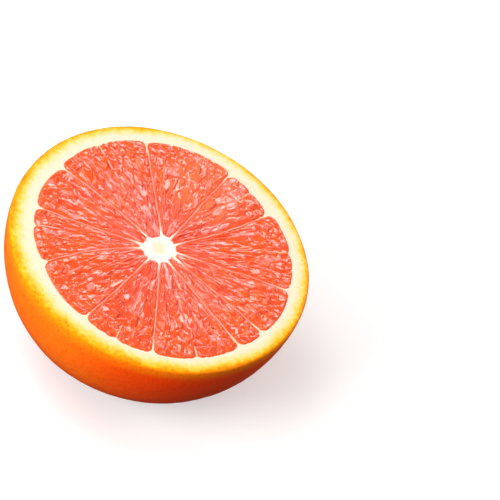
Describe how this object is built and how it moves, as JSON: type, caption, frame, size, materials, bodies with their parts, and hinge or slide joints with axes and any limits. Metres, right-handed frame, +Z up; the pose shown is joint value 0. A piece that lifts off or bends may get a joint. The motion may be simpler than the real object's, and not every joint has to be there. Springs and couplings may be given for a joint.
{
  "type": "orange half",
  "caption": "Half of a large orange cut across its middle, cut face up, with rind, white core and juicy segments that stand slightly proud of the cut.",
  "frame": {"origin": "middle of the bottom, where the stem end rests on a surface, on the axis of the fruit", "axes": "+Z points up, out of the cut face and along the axis of the fruit from its stem end; +X and +Y lie in the cut face, and +Y points away from the side that the picture shows nearest"},
  "size_m": [0.0834, 0.084, 0.0411],
  "materials": {
    "orange_half": null
  },
  "bodies": {
    "root": {"orange_half": "orange_half"}
  },
  "joints": []
}
